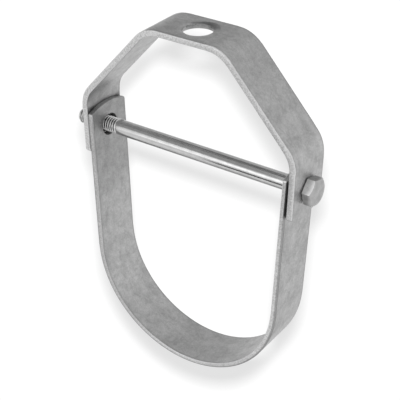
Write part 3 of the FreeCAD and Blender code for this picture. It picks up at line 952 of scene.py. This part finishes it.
def bar_material(name, finishes, edge, shift):
    """Rolled steel bar, in the blank's own coordinates, so that it follows the bends.

    Soft cloudy patches, fine grain, dull smudges, a few thin dark scratches
    along the bar, lighter grainy edges, smooth bright corners, a line of painted
    shade and a speckled line beside them, and painted shade in the crevices, on the
    far edges, on the rod hole's far lip and in soft patches. The shift moves the
    pattern along the bar.
    """
    shader = Shader(bpy.data.materials.new(name))
    moved = shader.add("ShaderNodeVectorMath", operation="ADD")
    shader.join(shader.attribute(BLANK, "Vector"), moved.inputs[0])
    moved.inputs[1].default_value = (shift, shift * 0.37, 0)
    blank = moved.outputs["Vector"]
    rim = shader.attribute(RIM)
    cloud = shader.noise(blank, scale=120, distortion=0.3)
    patchy = shader.noise(blank, scale=420, roughness=0.6)
    streak = shader.noise(blank, scale=(30, 420, 420))
    grain = shader.noise(blank, scale=1150, detail=2, roughness=0.7)
    smudge = shader.noise(blank, scale=(130, 170, 170), detail=5, roughness=0.65, distortion=0.9)
    scratch = shader.noise(blank, scale=(110, 1500, 1500), detail=2)
    total = shader.blend(((cloud, 0.3), (patchy, 0.27), (streak, 0.07), (grain, 0.36)))

    # Painted shade beside each edge, where the rounding meets the face
    shade_line = shader.math("MULTIPLY", shader.band(rim, *SHADE_LINE), 0.4)
    grains = shader.spread(grain, 0.35, 0.65)
    corner = shader.band(rim, *BRIGHT_CORNER)
    speckles = shader.spread(grain, 0.5, 0.42, to_high=0.7)
    speckled_line = shader.math("MULTIPLY", shader.band(rim, *SPECKLED_LINE), speckles)

    colour = shader.mottle(shader.spread(total, 0.39, 0.61), finishes.bar_grey, 0.82, 1.18)
    for share, over in (
        (shader.spread(smudge, 0.54, 0.72, to_high=0.62), finishes.bar_dark),
        (shader.spread(scratch, 0.68, 0.74, to_high=0.5), finishes.bar_dark),
        (shade_line, finishes.bar_dark),
        (shader.spread(rim, *EDGE_END), shader.mottle(grains, edge, 0.8, 1.2)),
        (shader.math("MULTIPLY", corner, 0.8), finishes.corner),
        (speckled_line, finishes.bar_dark),
        # Painted shade from the vertex attribute, mixed towards the grey above
        (shader.attribute(PAINTED_SHADE), finishes.painted_shade),
    ):
        colour = shader.mix(share, colour, over)
    rough = shader.spread(total, 0.35, 0.65, 0.5, 0.4)
    rough = shader.math("SUBTRACT", rough, shader.math("MULTIPLY", corner, 0.17))
    height = shader.blend(((cloud, 1.0), (patchy, 0.35), (grain, 0.2)))
    return shader.metal(colour, rough, height, 0.07 * MM, 0.6)


def zinc_material(name, finishes, along_scale, dull_ends, root, rubbed, facets=()):
    """Bright zinc plating, with faint drawn streaks along the bolt and a soft cloudiness.

    It is duller and rougher beyond either of the two places along X in
    dull_ends. On the nut's side it gets painted shade within the root distance
    from the bolt's axis, in the thread's roots and the nut's bore, and up to the
    place along X given as rubbed the thread's crests beyond that distance get a
    painted highlight. Each facet, an (angle about the bolt, distance from its
    axis, colour), is a flat painted in that colour as its painted light and shade.
    """
    shader = Shader(bpy.data.materials.new(name))
    place = shader.add("ShaderNodeTexCoord").outputs["Object"]
    parts = shader.add("ShaderNodeSeparateXYZ")
    shader.join(place, parts.inputs["Vector"])
    x, y, z = parts.outputs
    streak = shader.noise(place, scale=(along_scale, 900, 900))
    cloud = shader.noise(place, scale=240)
    total = shader.blend(((streak, 0.6), (cloud, 0.4)))
    spotty = shader.spread(cloud, 0.35, 0.65)
    colour = shader.mix(shader.spread(total, 0.35, 0.65), finishes.zinc_dull, finishes.zinc)

    low, high = dull_ends
    step = 0.1 * MM
    dull = shader.math("MAXIMUM", shader.spread(x, high - step, high + step),
                       shader.spread(x, low + step, low - step))
    colour = shader.mix(dull, colour, shader.mottle(spotty, finishes.head_zinc, 0.85, 1.12))
    # Painted light and shade on single flats of the head
    for turn, distance, plating in facets:
        reach = shader.blend(((y, math.cos(turn)), (z, math.sin(turn))))
        flat = distance + BOLT_AXIS_Z * math.sin(turn)
        on_flat = shader.spread(reach, flat - 0.06 * MM, flat - 0.01 * MM)
        colour = shader.mix(on_flat, colour, shader.mottle(spotty, plating, 0.92, 1.06))

    height = shader.math("SUBTRACT", z, BOLT_AXIS_Z)
    square = shader.math("ADD", shader.math("POWER", y, 2.0), shader.math("POWER", height, 2.0))
    from_axis = shader.math("POWER", square, 0.5)
    # Painted highlight: the thread's crests lighter, up to the place given as rubbed
    crest = shader.math("MULTIPLY", shader.spread(from_axis, root - step, root + step),
                        shader.spread(x, rubbed + MM, rubbed))
    crest = shader.math("MULTIPLY", crest, shader.math("SUBTRACT", 1.0, dull))
    colour = shader.mix(crest, colour, shade(finishes.zinc, 1.2))
    # Painted shade in the thread's roots and the nut's bore, on the nut's side
    root_shade = shader.math("MULTIPLY", shader.spread(from_axis, root, root - 0.5 * MM, to_high=0.35),
                       shader.spread(x, 10 * MM, 0.0))
    colour = shader.mix(root_shade, colour, shade(finishes.head_zinc, 0.2))
    rough = shader.blend(((dull, 0.12), (shader.spread(total, 0.35, 0.65, 0.22, 0.14), 1.0)))
    return shader.metal(colour, rough, total, 0.03 * MM, 0.5)


# Operators, one for each piece and one for the stage

class HANGER_OT_yoke(Operator):
    """Build the bent upper yoke with its rod hole and ears"""
    bl_idname = "hanger.yoke"
    bl_label = "Upper Yoke"

    def execute(self, context):
        sizes = context.scene.hanger_sizes
        finishes = context.scene.hanger_finishes
        path = yoke_path(sizes)
        hole_mark = path.half_length - (BOLT_AXIS_Z - YOKE_LOW.z) / math.cos(sizes.ear_lean)
        ear_hole = (hole_mark, sizes.ear_hole / 2)
        patches = flat_blank(sizes, path, YOKE_THICKNESS, ear_hole, hole_mark - BAR_HALF_WIDTH, 1,
                             ROD_HOLE_RADIUS)
        # Top of the strap's sheared ends, where a painted shadow line lies on the yoke
        leg_top = hole_mark - sizes.leg_rise / math.cos(sizes.ear_lean)
        holes = [ear_hole, (0.0, ROD_HOLE_RADIUS)]
        # Painted shade on the yoke: a soft patch, the far edges, the line under the strap's ends and the
        # rod hole's far lip
        marks = bar_marks(sizes, holes, [SLOPE_SPOT], end_above=leg_top, shaded_hole=ROD_HOLE_RADIUS)
        piece = weld("yoke_bar", patches, bend_blank(sizes, path, YOKE_THICKNESS), marks)
        material = bar_material("Yoke steel", finishes, finishes.yoke_edge, 0.0)
        finish_piece(piece, "yoke", "upper_yoke", material)
        return {"FINISHED"}


class HANGER_OT_strap(Operator):
    """Build the U-shaped lower strap, hung between the ears"""
    bl_idname = "hanger.strap"
    bl_label = "Lower Strap"

    def execute(self, context):
        sizes = context.scene.hanger_sizes
        finishes = context.scene.hanger_finishes
        path = strap_path(sizes)
        hole_mark = path.half_length - (sizes.leg_rise + sizes.leg_hole_drop) / math.cos(sizes.leg_splay)
        leg_hole = (hole_mark, sizes.leg_hole / 2)
        patches = flat_blank(sizes, path, STRAP_THICKNESS, leg_hole, hole_mark - BAR_HALF_WIDTH, -1)
        bend = bend_blank(sizes, path, STRAP_THICKNESS)
        ear_corner = hole_mark + sizes.leg_hole_drop - (BOLT_AXIS_Z - YOKE_LOW.z)
        # Painted shade: soft patches on the left leg and the seat, and the strap's corners beside the
        # ears
        spots = [(-hole_mark, LEFT_LEG_REACH, LEFT_LEG_SHADE), SEAT_SPOT]
        marks = bar_marks(sizes, [leg_hole], spots, crevice=ear_corner + PAST_EAR)
        piece = weld("strap_bar", patches, lambda blank: hang(sizes, bend(blank)), marks)
        material = bar_material("Strap steel", finishes, finishes.strap_edge, 0.7)
        finish_piece(piece, "strap", "lower_strap", material)
        return {"FINISHED"}


class HANGER_OT_bolt(Operator):
    """Build the long hexagon bolt with its rolled thread"""
    bl_idname = "hanger.bolt"
    bl_label = "Cross Bolt"

    def execute(self, context):
        sizes = context.scene.hanger_sizes
        finishes = context.scene.hanger_finishes
        angles = ring_angles()
        rings = rings_patch(*bolt_rings(sizes, angles), angles, sizes.head_turn)
        piece = weld("hexagon_bolt", [rings])
        dull_ends = (BOLT_LOW.x, BOLT_HIGH.x - sizes.head_height)
        root = sizes.bolt_diameter / 2 - SHADE_DEPTH
        # End of the painted highlight on the thread's crests
        rubbed = BOLT_LOW.x + sizes.thread_length - MM
        # Painted light on the flat facing the left leg, painted shade on the top flat
        flats = ((LIT_FLAT, finishes.lit_flat), (SHADED_FLAT, finishes.shaded_flat))
        facets = [(sizes.head_turn + turn, sizes.hex_flats / 2, plating) for turn, plating in flats]
        material = zinc_material("Bolt zinc", finishes, DRAWN, dull_ends, root, rubbed, facets)
        finish_piece(piece, "bolt", "cross_bolt", material)
        return {"FINISHED"}


class HANGER_OT_nut(Operator):
    """Build the thin hexagon nut with its inner thread"""
    bl_idname = "hanger.nut"
    bl_label = "Hexagon Nut"

    def execute(self, context):
        sizes = context.scene.hanger_sizes
        finishes = context.scene.hanger_finishes
        angles = ring_angles()
        rings = rings_patch(*nut_rings(sizes, angles), angles, sizes.nut_turn, wrap_rows=True)
        piece = weld("hexagon_nut", [rings])
        dull_ends = (BOLT_LOW.x, NUT_LOW.x - MM)
        material = zinc_material("Nut zinc", finishes, PRESSED, dull_ends, sizes.bolt_diameter / 2,
                                 BOLT_LOW.x)
        finish_piece(piece, "nut", "hex_nut", material)
        return {"FINISHED"}


class HANGER_OT_studio(Operator):
    """Set up the camera, the backdrop and the lamps"""
    bl_idname = "hanger.studio"
    bl_label = "Studio"

    def execute(self, context):
        studio = context.scene.hanger_studio
        context.scene.view_settings.view_transform = "Standard"
        axes = camera_axes(studio)
        centre = Vector((0, 0, BOLT_AXIS_Z))
        camera = add_camera(context.scene, studio, centre, axes)
        paper = add_paper(studio, centre, axes)
        add_shade_lamp(studio, camera.matrix_world.translation, paper, axes)
        add_world(context.scene)
        add_key(studio, centre)
        add_cards(studio, centre)
        return {"FINISHED"}


# Stage: the paper and the room show white, and cards out of view shade the metal

# Half the paper's width, and where it fades out from its middle, in metres
PAPER_REACH = 2.5
PAPER_FADE = (0.56, 0.8)
PAPER_GREY = 0.1

# How bright the white room is as light, where 1 is how bright it looks
ROOM_LIGHT = 0.6

# Key lamp: along the bolt, up from level in front, away from the bolt, and its size
KEY_X = -0.47
KEY_RISE = math.radians(14)
KEY_DISTANCE = 1.2
KEY_SIZE = (0.55, 0.62)


def camera_axes(studio):
    """Right, up and back of the camera, from its azimuth, elevation and roll."""
    back = Vector((math.sin(studio.azimuth) * math.cos(studio.elevation),
                   -math.cos(studio.azimuth) * math.cos(studio.elevation),
                   math.sin(studio.elevation)))
    level_right = Vector((0, 0, 1)).cross(back).normalized()
    level_up = back.cross(level_right)
    cos, sin = math.cos(studio.roll), math.sin(studio.roll)
    return level_right * cos + level_up * sin, level_up * cos - level_right * sin, back


def facing(position, axes):
    """World matrix of something at a position, with its own axes along right, up and back."""
    return Matrix.Translation(position) @ Matrix(axes).transposed().to_4x4()


def add_camera(scene, studio, centre, axes):
    right, up, back = axes
    data = bpy.data.cameras.new("Camera")
    data.sensor_width = 36.0
    data.lens = studio.focal_length
    data.clip_end = 20.0
    camera = bpy.data.objects.new("Camera", data)
    scene.collection.objects.link(camera)
    position = centre + back * studio.distance + right * studio.slide_right + up * studio.slide_up
    camera.matrix_world = facing(position, axes)
    scene.camera = camera
    return camera


def plain_sheet(name, corners, material):
    mesh = bpy.data.meshes.new(name)
    mesh.from_pydata([tuple(corner) for corner in corners], [], [(0, 1, 2, 3)])
    mesh.materials.append(material)
    sheet = bpy.data.objects.new(name, mesh)
    bpy.context.scene.collection.objects.link(sheet)
    return sheet


def add_paper(studio, centre, axes):
    """White paper behind the hanger, square to the camera."""
    right, up, back = axes
    middle = centre - back * studio.paper_depth
    corners = [middle + (right * across + up * rise) * PAPER_REACH
               for across, rise in ((-1, -1), (1, -1), (1, 1), (-1, 1))]
    return plain_sheet("paper", corners, paper_material(studio, middle))


def paper_material(studio, middle):
    """Paper that shows only its front.

    It glows by itself at the level of its shadows, and the shade lamp brings
    the rest up to white. For a camera it fades out into the white room away
    from its middle.
    """
    shader = Shader(bpy.data.materials.new("Paper"))
    glow = shader.glow()
    full = studio.paper_glow
    shader.join(shader.spread(shader.seen_directly(), 0, 1, full / 2, full), glow.inputs["Strength"])
    diffuse = shader.add("ShaderNodeBsdfDiffuse")
    diffuse.inputs["Color"].default_value = (PAPER_GREY, PAPER_GREY, PAPER_GREY, 1)
    lit = shader.add("ShaderNodeAddShader")
    shader.join(diffuse.outputs["BSDF"], lit.inputs[0])
    shader.join(glow.outputs["Emission"], lit.inputs[1])
    clear = shader.add("ShaderNodeBsdfTransparent")
    side = shader.add("ShaderNodeNewGeometry")
    away = shader.add("ShaderNodeVectorMath", operation="DISTANCE")
    shader.join(side.outputs["Position"], away.inputs[0])
    away.inputs[1].default_value = middle
    camera_ray = shader.add("ShaderNodeLightPath").outputs["Is Camera Ray"]
    faded = shader.math("MULTIPLY", shader.spread(away.outputs["Value"], *PAPER_FADE), camera_ray)
    either = shader.add("ShaderNodeMixShader")
    shader.join(shader.math("MAXIMUM", side.outputs["Backfacing"], faded), either.inputs["Fac"])
    shader.join(lit.outputs["Shader"], either.inputs[1])
    shader.join(clear.outputs["BSDF"], either.inputs[2])
    return shader.surface(either, "Shader")


def add_world(scene):
    """A white room, dimmer for diffuse light than for what the camera and the metal see."""
    shader = Shader(bpy.data.worlds.new("White room"))
    background = shader.nodes["Background"].inputs
    background["Color"].default_value = (1, 1, 1, 1)
    strength = shader.spread(shader.seen_directly(), 0, 1, ROOM_LIGHT, 1)
    shader.join(strength, background["Strength"])
    scene.world = shader.owner


def add_lamp(name, position, axes, size, power):
    """Area lamp that no camera sees."""
    data = bpy.data.lights.new(name, "AREA")
    data.shape = "RECTANGLE"
    data.size, data.size_y = size
    data.energy = power
    lamp = bpy.data.objects.new(name, data)
    bpy.context.scene.collection.objects.link(lamp)
    lamp.matrix_world = facing(position, axes)
    lamp.visible_camera = False
    return lamp


def add_shade_lamp(studio, camera_place, paper, axes):
    """Small lamp just above the camera, which lights only the paper.

    From there the hanger's shadow falls on the paper a little below the
    hanger itself, as the camera sees it, and nearly by the same step all over.
    """
    place = camera_place + axes[1] * studio.shade_rise
    size = (studio.shade_size, studio.shade_size)
    lamp = add_lamp("Shade lamp", place, axes, size, studio.shade_power)
    lamp.visible_glossy = False
    lit = bpy.data.collections.new("Lit by the shade lamp")
    lit.objects.link(paper)
    lamp.light_linking.receiver_collection = lit


def around_bolt(x, rise, radius):
    """Place at x along the bolt, and at that radius from it, turned from -Y up by that angle."""
    return Vector((x, -radius * math.cos(rise), radius * math.sin(rise)))


def add_key(studio, centre):
    """Long soft light in front and to the left, which draws the bolt's bright line."""
    place = around_bolt(KEY_X, KEY_RISE, KEY_DISTANCE)
    back = place.normalized()
    right = Vector((0, 0, 1)).cross(back).normalized()
    add_lamp("Key", centre + place, (right, back.cross(right), back), KEY_SIZE, studio.key_power)


def add_cards(studio, centre):
    """Grey cards out of the camera's view, which the metal reflects as its darker bands.

    Each is a flat sheet between two angles about the bolt, at one radius from
    it, from left to right along X.
    """
    cards = (
        ("card_overhead_back", studio.overhead_back, (88, 122), (-0.3, -0.04), 0.23),
        ("card_overhead_front", studio.overhead_front, (38, 88), (-0.3, -0.04), 0.23),
        ("card_behind_left", studio.behind_left, (122, 172), (-0.8, 0.0), 0.75),
        ("card_behind_right", studio.behind_right, (113, 172), (0.0, 0.8), 0.75),
        ("card_below", studio.below, (-120, -72), (-0.6, 0.45), 0.75),
        ("card_low_front", studio.low_front, (-35, -15), (-0.05, 0.03), 0.11),
    )
    for name, level, (first, last), (left, right), radius in cards:
        corners = [centre + around_bolt(x, math.radians(rise), radius)
                   for x, rise in ((left, first), (right, first), (right, last), (left, last))]
        add_card(name, level, corners)


def add_card(name, level, corners):
    """Plain grey card that glows evenly at its level, and that no camera sees."""
    shader = Shader(bpy.data.materials.new(name))
    glow = shader.glow()
    glow.inputs["Strength"].default_value = level
    card = plain_sheet(name, corners, shader.surface(glow, "Emission"))
    card.visible_camera = False
    card.visible_shadow = False


# Sidebar panel

class HANGER_PT_panel(Panel):
    """Lists the hanger's pieces, sizes and finishes"""
    bl_idname = "HANGER_PT_panel"
    bl_label = "Clevis Pipe Hanger"
    bl_space_type = "VIEW_3D"
    bl_region_type = "UI"
    bl_category = "Hanger"

    def draw(self, context):
        layout = self.layout
        scene = context.scene
        for operator in OPERATORS:
            layout.operator(operator.bl_idname)
        for group in (scene.hanger_sizes, scene.hanger_finishes, scene.hanger_studio):
            box = layout.box()
            for name in group.__annotations__:
                box.prop(group, name)


OPERATORS = (HANGER_OT_yoke, HANGER_OT_strap, HANGER_OT_bolt, HANGER_OT_nut, HANGER_OT_studio)
CLASSES = (HangerSizes, HangerFinishes, HangerStudio, *OPERATORS, HANGER_PT_panel)


def register():
    for item in CLASSES:
        bpy.utils.register_class(item)
    bpy.types.Scene.hanger_sizes = PointerProperty(type=HangerSizes)
    bpy.types.Scene.hanger_finishes = PointerProperty(type=HangerFinishes)
    bpy.types.Scene.hanger_studio = PointerProperty(type=HangerStudio)


def unregister():
    del bpy.types.Scene.hanger_studio
    del bpy.types.Scene.hanger_finishes
    del bpy.types.Scene.hanger_sizes
    for item in reversed(CLASSES):
        bpy.utils.unregister_class(item)


def main():
    register()
    bpy.ops.hanger.yoke()
    bpy.ops.hanger.strap()
    bpy.ops.hanger.bolt()
    bpy.ops.hanger.nut()
    bpy.ops.hanger.studio()


if __name__ == "__main__":
    main()
